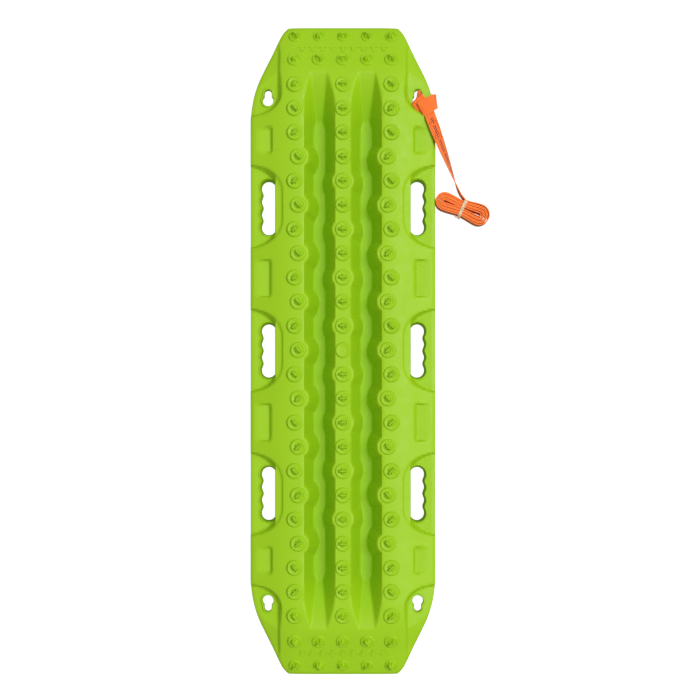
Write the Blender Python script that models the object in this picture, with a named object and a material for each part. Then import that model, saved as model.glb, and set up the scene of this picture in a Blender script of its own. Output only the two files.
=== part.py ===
"""Vehicle recovery traction board with its webbing leash.

The board is a one-piece moulded shell. It lies flat on its two channel floors, long axis along Y,
top face up, and its origin is the middle of its footprint on the ground. A flat webbing leash is
hitched through one keyhole round the rim bar and ends in a hank held by a rubber band. The leash
swings about a vertical axis where it leaves the hitch.
"""
import math

import bmesh
import bpy
from mathutils import Matrix, Vector

MM = 0.001
WALL = 4.0 * MM
SINK = 1.0 * MM
TINY = 0.01 * MM
DROP = 10.0 * MM

# Board outline.
LENGTH = 1150.0 * MM
WIDTH = 326.0 * MM
END_HALF_WIDTH = 98.0 * MM
STRAIGHT_END = 400.0 * MM
SHOULDER_RADIUS = 200.0 * MM
SHOULDER_END = 487.0 * MM
TAPER = 0.465
CORNER = 16.0 * MM

# Heights.
CREST = 50.0 * MM
FLAT_END = 435.0 * MM
NOSE_RADIUS = 187.0 * MM
NOSE_ANGLE = math.radians(22.0)
SIDE_SLOPE = math.tan(math.radians(17.3))
SKIRT = 14.0 * MM
LIP_LOW = 1.0 * MM
FLOOR = 4.5 * MM

# Cross-section, measured outwards from the middle.
MID_RIDGE = 13.9 * MM
MID_FOOT = 30.7 * MM
OUTER_FOOT = 52.3 * MM
OUTER_RIDGE = 68.2 * MM
RIDGE_EDGE = 98.4 * MM
CHANNEL_TIP = (28.0 * MM, 57.0 * MM)
WALL_SHIFT = 4.24 * MM
TOP_SHIFT = 2.84 * MM
FOOT_SHIFT = 2.7 * MM
FOOT_STEP = 1.0 * MM
SIDE_MIN = 8.0 * MM
RIM_CHAMFER = (2.0 * MM, 1.0 * MM)
CURVE_STATIONS = (453.0 * MM, 470.0 * MM, 506.0 * MM, 567.0 * MM)
RAMP_START = 408.0 * MM
RAMP_END = 489.0 * MM

# Teeth.
PITCH = 42.3 * MM
LAST_FULL_ROW = 11
END_ROWS = (512.0 * MM, 557.0 * MM)
COLUMN = 84.4 * MM
COLUMN_IN = 78.5 * MM
END_COLUMN = 85.0 * MM
END_MIDDLE = 42.6 * MM
DISC_BASE = 14.0 * MM
DISC_TOP = 11.5 * MM
DISC_HIGH = 3.0 * MM
NUB_LONG = 7.0 * MM
NUB_WIDE = 4.5 * MM
NUB_HALF = 5.0 * MM
NUB_EDGE = 0.8 * MM
NUB_HIGH = 8.0 * MM
TOOTH_SIDES = 8

# Buttresses that widen the ridges into the channels.
BUTTRESS_TOP = 19.0 * MM
BUTTRESS_FOOT = 36.0 * MM
BUTTRESS_SIDES = 10
MID_BUTTRESS_ROWS = 7
SIDE_BUTTRESS_ROWS = 8

# Handles.
HANDLE_ROWS = (-253.0 * MM, 0.0, 253.0 * MM)
SLOT_X = 131.4 * MM
SLOT_LENGTH = 94.0 * MM
SLOT_WIDTH = 24.5 * MM
FINGER_PITCH = 23.0 * MM
FINGER_RISE = 3.0 * MM
FINGER_STEPS = 12
SLOT_STEPS = 6
COLLAR_LOW = 10.0 * MM
POCKET_FLOOR = 26.0 * MM
POCKET_INNER = 105.0 * MM
POCKET_HALF = 39.0 * MM
POCKET_REACH = 76.0 * MM
POCKET_SLOPE = 13.0 * MM
POCKET_FOOT = (2.0 * MM, 6.0 * MM)
ARC_STEPS = 4

# Keyholes at the corners.
KEYHOLE_X = 132.0 * MM
KEYHOLE_Y = 441.0 * MM
KEYHOLE_BIG = 9.3 * MM
KEYHOLE_SMALL = 6.3 * MM
KEYHOLE_STEP = 12.6 * MM
KEYHOLE_NECK = 0.3 * MM
KEYHOLE_LIP = 3.0 * MM
KEYHOLE_LOW = 18.0 * MM
KEYHOLE_RIM = 1.0 * MM
CORNER_FLOOR = 24.0 * MM
CORNER_INNER = 109.0 * MM
CORNER_NEAR = 404.0 * MM
CORNER_TURN = 450.0 * MM
CORNER_FAR = 545.0 * MM
CORNER_FOOT = 3.0 * MM

# Level pads on the sloped sides: x inner, x outer, y middle, half length.
LONG_PAD = (129.0 * MM, 155.0 * MM, 126.4 * MM, 31.0 * MM)
SHORT_PAD = (127.0 * MM, 151.0 * MM, 369.0 * MM, 21.5 * MM)
PAD_FOOT = 1.5 * MM

# Leash.
TAPE_WIDTH = 25.0 * MM
TAPE_THICK = 2.0 * MM
PIVOT = Vector((151.0 * MM, 419.0 * MM, 0.0))
HITCH_LOW = 13.0 * MM
HITCH_INNER = 135.5 * MM
HITCH_OUTER = 161.9 * MM
HITCH_BEND = 3.0 * MM
HITCH_FOLD_HEIGHTS = (38.0 * MM, 40.0 * MM)
HITCH_FOLD = (
    (142.0, 415.0), (160.0, 421.5), (162.5, 428.0), (159.5, 450.0), (152.0, 448.5), (127.5, 436.0),
)
HANK_LOW = 1.5 * MM
LOBE_LEFT = Vector((179.5 * MM, 264.5 * MM))
LOBE_RIGHT = Vector((240.5 * MM, 240.0 * MM))
LOBE_RADII = (16.3 * MM, 18.8 * MM)
LOBE_STEPS = 8
WAIST = 15.5 * MM
WAIST_HALF = 4.0 * MM
LEG_WIDTH = 14.0 * MM

# The free stretch: place, how far its left edge is banked up in degrees, and its width seen from above.
RUN_ROUTE = (
    (151.0, 419.0, 35.4), (154.5, 409.0, 38.0), (160.0, 395.0, 37.0), (168.0, 375.0, 32.8),
    (180.0, 346.0, 25.5), (192.5, 315.0, 18.0), (203.0, 288.0, 14.3), (208.5, 276.3, 14.0),
)
RUN_BANK = (2.0, 14.0, 20.0, 35.0, 55.0, 74.0, 88.0, 90.0)
RUN_WIDTH = (19.0, 19.5, 20.0, 21.0, 22.5, 24.0, 25.0, 25.0)
RUN_COUNT = 22
NOSE_SHARES = (0.98, 0.75, 0.4)
STITCH_SPAN = (6, 11)
STITCH_WIDE = 15.0 * MM
STITCH_THICK = 0.6 * MM
BAND_WIDE = 6.5 * MM
BAND_THICK = 1.1 * MM
GAP = 0.3 * MM


# ---------------------------------------------------------------- helpers

def material(name, colour, roughness):
    made = bpy.data.materials.new(name)
    made.use_nodes = True
    shader = made.node_tree.nodes["Principled BSDF"]
    shader.inputs["Base Color"].default_value = (*colour, 1.0)
    shader.inputs["Roughness"].default_value = roughness
    shader.inputs["Metallic"].default_value = 0.0
    return made


def link(name, mesh, look=None, pivot=None):
    """An object in the scene; with a pivot, its origin is on that axis and it hangs from the empty."""
    piece = bpy.data.objects.new(name, mesh)
    bpy.context.scene.collection.objects.link(piece)
    if look:
        mesh.materials.append(look)
    if pivot:
        mesh.transform(Matrix.Translation(-pivot.location))
        piece.parent = pivot
    return piece


def cutter(name, mesh):
    piece = link(name, mesh)
    piece.hide_render = True
    piece.display_type = 'WIRE'
    return piece


def solid(name, rings, closed_loop=False):
    """A closed mesh through rings of equal length, each a list of points; the ends are capped."""
    mesh = bmesh.new()
    rows = [[mesh.verts.new(point) for point in ring] for ring in rings]
    pairs = list(zip(rows, rows[1:]))
    if closed_loop:
        pairs.append((rows[-1], rows[0]))
    for low, high in pairs:
        for i in range(len(low)):
            j = (i + 1) % len(low)
            mesh.faces.new((low[i], low[j], high[j], high[i]))
    if not closed_loop:
        mesh.faces.new(list(reversed(rows[0])))
        mesh.faces.new(rows[-1])
    bmesh.ops.recalc_face_normals(mesh, faces=mesh.faces)
    made = bpy.data.meshes.new(name)
    mesh.to_mesh(made)
    mesh.free()
    return made


def merged(name, meshes):
    """Several closed meshes as one mesh, each still a body of its own."""
    mesh = bmesh.new()
    for each in meshes:
        mesh.from_mesh(each)
        bpy.data.meshes.remove(each)
    made = bpy.data.meshes.new(name)
    mesh.to_mesh(made)
    mesh.free()
    return made


def boolean(target, other, operation):
    step = target.modifiers.new(other.name, 'BOOLEAN')
    step.operation = operation
    step.solver = 'EXACT'
    step.object = other


def prism(outline_low, outline_high, low, high, name="prism"):
    """A tapered block between two plane outlines of equal point count."""
    bottom = [(x, y, low) for x, y in outline_low]
    top = [(x, y, high) for x, y in outline_high]
    return solid(name, [bottom, top])


def stadium(x, y, length, width):
    """A slot outline with round ends, long axis along Y."""
    radius = width / 2
    reach = length / 2 - radius
    points = []
    for end, start in ((1, 0.0), (-1, math.pi)):
        for i in range(SLOT_STEPS + 1):
            turn = start + math.pi * i / SLOT_STEPS
            points.append((x + radius * math.cos(turn), y + end * reach + radius * math.sin(turn)))
    return points


def grown(outline, amount):
    """The outline moved outwards by amount, for anticlockwise outlines."""
    moved = []
    count = len(outline)
    for i, (x, y) in enumerate(outline):
        before = Vector(outline[i - 1])
        after = Vector(outline[(i + 1) % count])
        here = Vector((x, y))
        one = (here - before).normalized()
        two = (after - here).normalized()
        normal = Vector((one.y + two.y, -one.x - two.x)).normalized()
        lean = max(0.5, normal.dot(Vector((one.y, -one.x))))
        moved.append(tuple(here + normal * amount / lean))
    return moved


def mirrored(outline):
    """The outline on the other side of the board, still anticlockwise."""
    return [(-x, y) for x, y in reversed(outline)]


def flipped(outline):
    """The outline at the other end of the board, still anticlockwise."""
    return [(x, -y) for x, y in reversed(outline)]


# ---------------------------------------------------------------- board surfaces

def half_width(y):
    """Half the outline's width at a place along the board."""
    y = abs(y)
    if y <= STRAIGHT_END:
        return WIDTH / 2
    curved = min(y, SHOULDER_END) - STRAIGHT_END
    wide = WIDTH / 2 - SHOULDER_RADIUS + math.sqrt(SHOULDER_RADIUS ** 2 - curved ** 2)
    wide -= TAPER * max(0.0, y - SHOULDER_END)
    into = max(0.0, y - (LENGTH / 2 - CORNER)) / CORNER
    return wide - (wide - END_HALF_WIDTH) * (1 - math.sqrt(max(0.0, 1 - into ** 2)))


def crest(y):
    """Height of the ridge tops along the board."""
    y = abs(y) - FLAT_END
    if y <= 0:
        return CREST
    curved = min(y, NOSE_RADIUS * math.sin(NOSE_ANGLE))
    high = CREST - NOSE_RADIUS + math.sqrt(NOSE_RADIUS ** 2 - curved ** 2)
    return high - math.tan(NOSE_ANGLE) * (y - curved)


def ramp(y):
    """0 in the deep channel, 1 where its ramped floor has reached the surface."""
    return min(1.0, max(0.0, (abs(y) - RAMP_START) / (RAMP_END - RAMP_START)))


def mix(a, b, share):
    return a + (b - a) * share


def section(y):
    """Outer and inner half cross-sections from the middle outwards, as lists of (x, z)."""
    top = crest(y)
    share = ramp(y)
    floor = mix(FLOOR, top, share)
    rim_x = half_width(y)
    edge = min(RIDGE_EDGE, rim_x - SIDE_MIN)
    rim = top - (rim_x - edge) * SIDE_SLOPE
    low = max(rim - SKIRT, LIP_LOW)
    ridge_in = mix(MID_RIDGE, CHANNEL_TIP[0], share)
    foot_in = mix(MID_FOOT, CHANNEL_TIP[0] + FOOT_STEP, share)
    foot_out = mix(OUTER_FOOT, CHANNEL_TIP[1] - FOOT_STEP, share)
    ridge_out = mix(OUTER_RIDGE, CHANNEL_TIP[1], share)
    outer = [
        (0.0, top), (ridge_in, top), (foot_in, floor), (foot_out, floor), (ridge_out, top),
        (edge, top), (rim_x - RIM_CHAMFER[0], rim + RIM_CHAMFER[1]), (rim_x, rim - RIM_CHAMFER[1]),
    ]
    shift = TOP_SHIFT * (1 - share)
    foot = FOOT_SHIFT * (1 - share)
    inner = [
        (0.0, top - WALL), (ridge_in - shift, top - WALL),
        (foot_in - foot, floor - FLOOR), (foot_out + foot, floor - FLOOR),
        (ridge_out + shift, top - WALL), (edge - RIM_CHAMFER[1], top - WALL),
        (rim_x - WALL, rim - WALL), (rim_x - WALL, low),
    ]
    return outer, inner, low


def both_sides(half):
    return [(-x, z) for x, z in reversed(half[1:])] + half


def stations():
    """Places along the board where the cross-section changes."""
    ends = [STRAIGHT_END, RAMP_START, FLAT_END, RAMP_END, LENGTH / 2 - CORNER, LENGTH / 2 - WALL]
    half = sorted(ends + list(CURVE_STATIONS))
    return [-y for y in reversed(half)] + half


def outer_block():
    """The filled outside shape of the board."""
    rings = []
    for y in [-LENGTH / 2] + stations() + [LENGTH / 2]:
        outer = both_sides(section(y)[0])
        wide = outer[-1][0]
        ring = [(x, y, z) for x, z in outer]
        ring += [(wide, y, -DROP / 2), (-wide, y, -DROP / 2)]
        rings.append(ring)
    return solid("outer_block", rings)


def inner_block():
    """The hollow under the shell, carried past the skirt and below the ground."""
    beyond = WIDTH / 2 + DROP

    def ring(y, points, low):
        made = [(-beyond, y, low)] + [(x, y, z) for x, z in points] + [(beyond, y, low)]
        return made + [(beyond, y, -DROP), (-beyond, y, -DROP)]

    rings = []
    for y in stations():
        inner, low = section(y)[1:]
        rings.append(ring(y, both_sides(inner), low))
    for sign in (-1, 1):
        end = sign * (LENGTH / 2 - WALL)
        inner, low = section(end)[1:]
        plain = [(x, low) for x, z in both_sides(inner)]
        tail = [ring(end + sign * TINY, plain, low), ring(end + sign * DROP, plain, low)]
        rings = rings + tail if sign > 0 else tail[::-1] + rings
    return solid("inner_block", rings)


def teeth_places():
    """(x, y, blade angle) of every tooth; the middle one is the plain gate disc."""
    places = []
    for k in range(-LAST_FULL_ROW, LAST_FULL_ROW + 1):
        column = COLUMN_IN if k % 2 == 0 and abs(k) <= SIDE_BUTTRESS_ROWS else COLUMN
        lean = math.pi / 4 * (1 if k % 2 else -1)
        places.append((0.0, k * PITCH, 0.0))
        places.append((column, k * PITCH, lean))
        places.append((-column, k * PITCH, -lean))
    for sign in (-1, 1):
        for y in END_ROWS:
            for x in (-END_COLUMN, -END_MIDDLE, 0.0, END_MIDDLE, END_COLUMN):
                places.append((x, sign * y, 0.0))
    return places


def tooth(x, y, lean):
    """One moulded tooth: a low round disc with a chisel nub; the middle of the board has a plain disc."""
    ring = []
    for i in range(TOOTH_SIDES):
        turn = 2 * math.pi * (i + 0.5) / TOOTH_SIDES
        ring.append((math.cos(turn), math.sin(turn)))
    rings = [[(a * DISC_BASE, b * DISC_BASE, -SINK) for a, b in ring]]
    rings.append([(a * DISC_TOP, b * DISC_TOP, DISC_HIGH) for a, b in ring])
    if x or y:
        # The disc's own corners are gathered in pairs into the four corners of the nub.
        foot = [(math.copysign(NUB_LONG, a), math.copysign(NUB_WIDE, b), DISC_HIGH) for a, b in ring]
        high = DISC_HIGH + NUB_HIGH
        tip = [(math.copysign(NUB_HALF, a), math.copysign(NUB_EDGE, b), high) for a, b in ring]
        rings += [foot, tip]
    mesh = bmesh.new()
    mesh.from_mesh(solid("tooth", rings))
    bmesh.ops.remove_doubles(mesh, verts=mesh.verts, dist=TINY)
    step = 0.5 * MM
    slope = math.atan2(crest(y + step) - crest(y - step), 2 * step)
    place = Matrix.Translation((x, y, crest(y)))
    place = place @ Matrix.Rotation(slope, 4, 'X') @ Matrix.Rotation(lean, 4, 'Z')
    bmesh.ops.transform(mesh, matrix=place, verts=mesh.verts)
    made = bpy.data.meshes.new("tooth")
    mesh.to_mesh(made)
    mesh.free()
    return made


def buttress_places():
    places = [(0.0, k * PITCH) for k in range(-MID_BUTTRESS_ROWS, MID_BUTTRESS_ROWS + 1, 2)]
    for k in range(-SIDE_BUTTRESS_ROWS, SIDE_BUTTRESS_ROWS + 1, 2):
        places += [(COLUMN_IN, k * PITCH), (-COLUMN_IN, k * PITCH)]
    return places


def buttress(x, y, inset, low, high):
    """A cone frustum around a tooth; inset by the wall, it is the hollow inside it."""
    flare = (BUTTRESS_FOOT - BUTTRESS_TOP) / (CREST - FLOOR)
    rings = []
    for z in (low, high):
        radius = BUTTRESS_TOP + flare * (CREST - z) - inset
        ring = []
        for i in range(BUTTRESS_SIDES):
            turn = 2 * math.pi * (i + 0.5) / BUTTRESS_SIDES
            ring.append((x + radius * math.cos(turn), y + radius * math.sin(turn), z))
        rings.append(ring)
    return solid("buttress", rings)


def pocket_outline(y, inner, half, reach):
    """The D-shaped handle pocket: straight along its inner side, round corners out to the rim."""
    beyond = WIDTH / 2 + DROP
    wide = WIDTH / 2 - inner
    depth = reach - half
    points = []
    for i in range(ARC_STEPS + 1):
        turn = math.pi / 2 * i / ARC_STEPS
        points.append((inner + wide * (1 - math.cos(turn)), y - half - depth * math.sin(turn)))
    lower = points + [(beyond, y - reach)]
    upper = [(px, 2 * y - py) for px, py in reversed(lower)]
    return lower + upper


def corner_outline():
    """The keyhole pocket at a corner, open towards the rim."""
    beyond = WIDTH / 2 + DROP
    wide = WIDTH / 2 - CORNER_INNER
    depth = CORNER_TURN - CORNER_NEAR
    points = [(CORNER_INNER, CORNER_FAR)]
    for i in range(ARC_STEPS + 1):
        turn = math.pi / 2 * i / ARC_STEPS
        points.append((CORNER_INNER + wide * (1 - math.cos(turn)), CORNER_TURN - depth * math.sin(turn)))
    return points + [(beyond, CORNER_NEAR), (beyond, CORNER_FAR)]


def pad_outline(pad):
    inner, outer, y, half = pad
    return [(inner, y - half), (outer, y - half), (outer, y + half), (inner, y + half)]


def pad_floor(pad):
    return CREST - (pad[1] - RIDGE_EDGE) * SIDE_SLOPE


def recess_shapes():
    """(outline at the floor, outline at the top, floor height) of every recess on the right side."""
    foot_half, foot_reach = POCKET_FOOT
    shapes = []
    for y in HANDLE_ROWS:
        half, reach = POCKET_HALF - foot_half, POCKET_REACH - foot_reach
        foot = pocket_outline(y, POCKET_INNER + POCKET_SLOPE, half, reach)
        outline = pocket_outline(y, POCKET_INNER, POCKET_HALF, POCKET_REACH)
        shapes.append((foot, outline, POCKET_FLOOR))
    for sign in (1, -1):
        for inner, outer, y, half in (LONG_PAD, SHORT_PAD):
            pad = (inner, outer, sign * y, half)
            outline = pad_outline(pad)
            shapes.append((grown(outline, -PAD_FOOT), outline, pad_floor(pad)))
    corner = corner_outline()
    foot = grown(corner, -CORNER_FOOT)
    shapes.append((foot, corner, CORNER_FLOOR))
    shapes.append((flipped(foot), flipped(corner), CORNER_FLOOR))
    return shapes


def recesses(name, extra):
    """Every recess in the sloped sides, larger all round by extra."""
    blocks = []
    for foot, outline, floor in recess_shapes():
        if extra:
            foot = grown(foot, extra)
            outline = grown(outline, extra)
        blocks.append(prism(foot, outline, floor - extra, CREST + DROP))
        blocks.append(prism(mirrored(foot), mirrored(outline), floor - extra, CREST + DROP))
    return merged(name, blocks)


def round_end(x, y, radius, start, steps):
    """The points between the two ends of a half circle."""
    turns = [start + math.pi * i / steps for i in range(1, steps)]
    return [(x + radius * math.cos(turn), y + radius * math.sin(turn)) for turn in turns]


def slot_outline(side, y):
    """Handle slot whose outer edge has four finger hollows."""
    radius = SLOT_WIDTH / 2
    reach = SLOT_LENGTH / 2 - radius
    points = []
    for i in range(FINGER_STEPS + 1):
        along = -reach + 2 * reach * i / FINGER_STEPS
        bump = 0.5 + 0.5 * math.cos(2 * math.pi * along / FINGER_PITCH)
        inside = max(0.0, 1 - (abs(along) / (1.5 * FINGER_PITCH)) ** 8)
        points.append((SLOT_X + radius - FINGER_RISE * bump * inside, y + along))
    points += round_end(SLOT_X, y + reach, radius, 0.0, SLOT_STEPS)
    points += [(SLOT_X - radius, y + reach), (SLOT_X - radius, y - reach)]
    points += round_end(SLOT_X, y - reach, radius, math.pi, SLOT_STEPS)
    return points if side > 0 else mirrored(points)


def keyhole_outline(extra):
    """A big round hole that runs into a small one towards the end of the board, wider by extra."""
    big = KEYHOLE_BIG + extra
    small = KEYHOLE_SMALL + extra
    chord = (big ** 2 - small ** 2 + KEYHOLE_STEP ** 2) / (2 * KEYHOLE_STEP)
    neck = math.sqrt(big ** 2 - chord ** 2) + KEYHOLE_NECK
    points = []
    for radius, step, start, count in (
        (big, 0.0, math.pi / 2, 10),
        (small, KEYHOLE_STEP, -math.pi / 2, 6),
    ):
        trim = math.asin(neck / radius)
        for i in range(count + 1):
            turn = start + trim + 2 * (math.pi - trim) * i / count
            points.append((
                KEYHOLE_X + radius * math.cos(turn),
                KEYHOLE_Y + step + radius * math.sin(turn),
            ))
    return points


def at_corners(outline):
    """The outline at each of the four corners."""
    return [outline, mirrored(outline), flipped(outline), flipped(mirrored(outline))]


def make_board(look):
    """Outer block less the hollow, with teeth, handle collars and holes."""
    outside = link("board", outer_block(), look)
    hollow = cutter("hollow", inner_block())
    places = buttress_places()
    rib_high = [buttress(x, y, 0.0, FLOOR / 2, CREST) for x, y in places]
    rib_low = [buttress(x, y, WALL_SHIFT, -DROP / 2, CREST - WALL) for x, y in places]
    boolean(outside, cutter("buttresses", merged("buttresses", rib_high)), 'UNION')
    boolean(outside, cutter("recesses", recesses("recesses", 0.0)), 'DIFFERENCE')
    boolean(hollow, cutter("buttress_hollows", merged("buttress_hollows", rib_low)), 'UNION')
    boolean(hollow, cutter("recess_walls", recesses("recess_walls", WALL)), 'DIFFERENCE')
    boolean(outside, hollow, 'DIFFERENCE')

    collars = []
    cuts = []
    for y in HANDLE_ROWS:
        for side in (1, -1):
            around = stadium(side * SLOT_X, y, SLOT_LENGTH + 2 * WALL, SLOT_WIDTH + 2 * WALL)
            collars.append(prism(around, around, COLLAR_LOW, POCKET_FLOOR - WALL / 2))
            slot = slot_outline(side, y)
            cuts.append(prism(slot, slot, -DROP, CREST))
    for around in at_corners(keyhole_outline(KEYHOLE_LIP)):
        collars.append(prism(around, around, KEYHOLE_LOW, CORNER_FLOOR + KEYHOLE_RIM))
    for hole in at_corners(keyhole_outline(0.0)):
        cuts.append(prism(hole, hole, -DROP, CREST))
    teeth = [tooth(x, y, lean) for x, y, lean in teeth_places()]
    boolean(outside, cutter("collars", merged("collars", collars)), 'UNION')
    boolean(outside, cutter("teeth", merged("teeth", teeth)), 'UNION')
    boolean(outside, cutter("holes", merged("holes", cuts)), 'DIFFERENCE')
    return outside


# ---------------------------------------------------------------- leash

def smooth_path(points, count):
    """Points on a smooth curve through the route's own points."""
    ends = [points[0] * 2 - points[1]] + points + [points[-1] * 2 - points[-2]]
    made = []
    for n in range(count):
        place = n / (count - 1) * (len(points) - 1)
        i = min(int(place), len(points) - 2)
        t = place - i
        a, b, c, d = ends[i:i + 4]
        made.append(0.5 * ((2 * b) + (c - a) * t + (2 * a - 5 * b + 4 * c - d) * t * t
                           + (3 * b - a - 3 * c + d) * t ** 3))
    return made


def tape(name, middle, across, widths, thick=TAPE_THICK, lift=0.0, closed_loop=False):
    """A flat tape along a path; across is the direction of its width, and lift moves it off the path."""
    rings = []
    count = len(middle)
    for i, point in enumerate(middle):
        before = middle[i - 1] if i or closed_loop else point
        after = middle[(i + 1) % count] if i < count - 1 or closed_loop else point
        along = (after - before).normalized()
        side = (across[i] - along * across[i].dot(along)).normalized()
        normal = side.cross(along).normalized()
        half = side * widths[i] / 2
        low = point + normal * (lift - thick / 2)
        high = point + normal * (lift + thick / 2)
        rings.append([low - half, low + half, high + half, high - half])
    return solid(name, rings, closed_loop)


def make_hitch(look):
    """The eye of the leash: a loop through the keyhole and round the rim bar, under a wide front fold."""
    inner, outer, bend = HITCH_INNER, HITCH_OUTER, HITCH_BEND
    low = HITCH_LOW
    high = (HITCH_FOLD_HEIGHTS[0] + HITCH_FOLD_HEIGHTS[1]) / 2
    route = (
        (inner, low + bend), (inner, high - bend), (inner + bend, high), (outer - bend, high),
        (outer, high - bend), (outer, low + bend), (outer - bend, low), (inner + bend, low),
    )
    middle = [Vector((x, KEYHOLE_Y, z)) for x, z in route]
    count = len(middle)
    loop = tape("leash_hitch", middle, [Vector((0, 1, 0))] * count, [LEG_WIDTH] * count, closed_loop=True)
    hitch = link("leash_hitch", loop, look)
    fold = [(x * MM, y * MM) for x, y in HITCH_FOLD]
    boolean(hitch, cutter("hitch_fold", prism(fold, fold, *HITCH_FOLD_HEIGHTS)), 'UNION')
    return hitch


def run_stations():
    """Path, width directions and widths of the free stretch."""
    middle = smooth_path([Vector(point) * MM for point in RUN_ROUTE], RUN_COUNT)
    banks = smooth_path([Vector((bank, wide, 0)) for bank, wide in zip(RUN_BANK, RUN_WIDTH)], RUN_COUNT)
    across = []
    widths = []
    for i in range(RUN_COUNT):
        along = (middle[min(i + 1, RUN_COUNT - 1)] - middle[max(i - 1, 0)]).normalized()
        level = along.cross(Vector((0, 0, 1))).normalized()
        bank = math.radians(banks[i].x)
        across.append(level * -math.cos(bank) - Vector((0, 0, 1)) * math.sin(bank))
        widths.append(banks[i].y * MM)
    return middle, across, widths


def make_run(look, pivot):
    """The free stretch from the hitch to the hank, flat at the board and on edge at the hank."""
    middle, across, widths = run_stations()
    start = middle[0]
    back = (middle[0] - middle[1]).normalized()
    back.z = 0
    nose = []
    for share in NOSE_SHARES:
        nose.append((start + back * share * widths[0] / 2, widths[0] * math.sqrt(1 - share ** 2)))
    middle = [Vector((p.x, p.y, start.z)) for p, _ in nose] + middle
    across = [across[0]] * len(nose) + across
    widths = [wide for _, wide in nose] + widths
    return link("leash_run", tape("leash_run", middle, across, widths), look, pivot)


def make_stitching(look, pivot):
    """The sewn box that closes the eye, lying on the free stretch a little way from the hitch."""
    middle, across, _ = run_stations()
    first, last = STITCH_SPAN
    part = slice(first, last)
    widths = [STITCH_WIDE] * (last - first)
    lift = TAPE_THICK / 2 + GAP + STITCH_THICK / 2
    mesh = tape("eye_stitching", middle[part], across[part], widths, STITCH_THICK, lift)
    return link("eye_stitching", mesh, look, pivot)


def hank_axes():
    """Directions along the hank, from its left lobe to its right one, and across it."""
    axis = (LOBE_RIGHT - LOBE_LEFT).normalized()
    return axis, Vector((-axis.y, axis.x))


def make_hank(look, pivot):
    """The wound tape: two round lobes and a waist drawn in by the band."""
    axis, side = hank_axes()
    heading = math.atan2(side.y, side.x)
    centre = (LOBE_LEFT + LOBE_RIGHT) / 2
    outline = []
    for lobe, radius, sign in ((LOBE_LEFT, LOBE_RADII[0], 1), (LOBE_RIGHT, LOBE_RADII[1], -1)):
        for i in range(LOBE_STEPS + 1):
            turn = heading + math.pi * i / LOBE_STEPS
            outline.append(lobe + sign * radius * Vector((math.cos(turn), math.sin(turn))))
        waist = centre - sign * side * WAIST
        outline += [waist - sign * axis * WAIST_HALF, waist + sign * axis * WAIST_HALF]
    outline = [tuple(point) for point in outline]
    mesh = prism(outline, outline, HANK_LOW, HANK_LOW + TAPE_WIDTH, "leash_hank")
    return link("leash_hank", mesh, look, pivot)


def make_band(look, pivot):
    """The rubber band round the hank's waist."""
    axis, side = hank_axes()
    centre = (LOBE_LEFT + LOBE_RIGHT) / 2
    rings = []
    reach = WAIST + GAP
    low = HANK_LOW - GAP
    high = HANK_LOW + TAPE_WIDTH + GAP
    corners = ((-reach, low, -1, -1), (reach, low, 1, -1), (reach, high, 1, 1), (-reach, high, -1, 1))
    for out, z, out_sign, z_sign in corners:
        ring = []
        for along, thick in ((-1, 0), (1, 0), (1, 1), (-1, 1)):
            flat = centre + axis * along * BAND_WIDE / 2 + side * (out + out_sign * thick * BAND_THICK)
            ring.append((flat.x, flat.y, z + z_sign * thick * BAND_THICK))
        rings.append(ring)
    return link("hank_band", solid("hank_band", rings, True), look, pivot)


def main():
    for old in list(bpy.data.objects):
        bpy.data.objects.remove(old, do_unlink=True)
    nylon = material("lime_nylon", (0.32, 0.60, 0.04), 0.45)
    webbing = material("orange_webbing", (0.90, 0.16, 0.03), 0.8)
    thread = material("orange_thread", (0.70, 0.10, 0.02), 0.7)
    rubber = material("natural_rubber", (0.58, 0.40, 0.25), 0.6)
    make_board(nylon)
    pivot = bpy.data.objects.new("leash_pivot", None)
    pivot.location = PIVOT
    bpy.context.scene.collection.objects.link(pivot)
    make_hitch(webbing)
    make_run(webbing, pivot)
    make_stitching(thread, pivot)
    make_hank(webbing, pivot)
    make_band(rubber, pivot)


main()
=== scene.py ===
"""Looks of the traction board and its webbing leash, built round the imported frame.

All lengths here are millimetres; MM turns them into the scene's metres. X runs across the board,
Y along it towards the end with the leash, and Z up out of its studded face. The ground is z = 0.
"""
import math

import bmesh
import bpy
import numpy as np
from mathutils import Matrix, Vector


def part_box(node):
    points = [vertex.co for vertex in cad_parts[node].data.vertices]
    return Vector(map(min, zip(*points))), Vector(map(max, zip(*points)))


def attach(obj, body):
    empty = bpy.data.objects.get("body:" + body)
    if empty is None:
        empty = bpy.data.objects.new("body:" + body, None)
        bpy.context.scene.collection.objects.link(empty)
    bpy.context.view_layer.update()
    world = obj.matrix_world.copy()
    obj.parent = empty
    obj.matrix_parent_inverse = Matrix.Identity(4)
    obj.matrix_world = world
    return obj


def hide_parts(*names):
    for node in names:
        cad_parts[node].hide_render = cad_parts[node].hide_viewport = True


MM = 0.001

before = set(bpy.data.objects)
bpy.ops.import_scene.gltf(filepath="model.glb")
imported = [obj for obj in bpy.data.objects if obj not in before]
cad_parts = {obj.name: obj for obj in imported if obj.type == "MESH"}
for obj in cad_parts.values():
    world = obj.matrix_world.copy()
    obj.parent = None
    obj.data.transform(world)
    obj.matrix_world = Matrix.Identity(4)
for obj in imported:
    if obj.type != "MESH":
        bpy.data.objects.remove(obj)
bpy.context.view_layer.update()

_, board_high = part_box("board")
HALF_WIDTH = board_high.x / MM
HALF_LENGTH = board_high.y / MM

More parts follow.
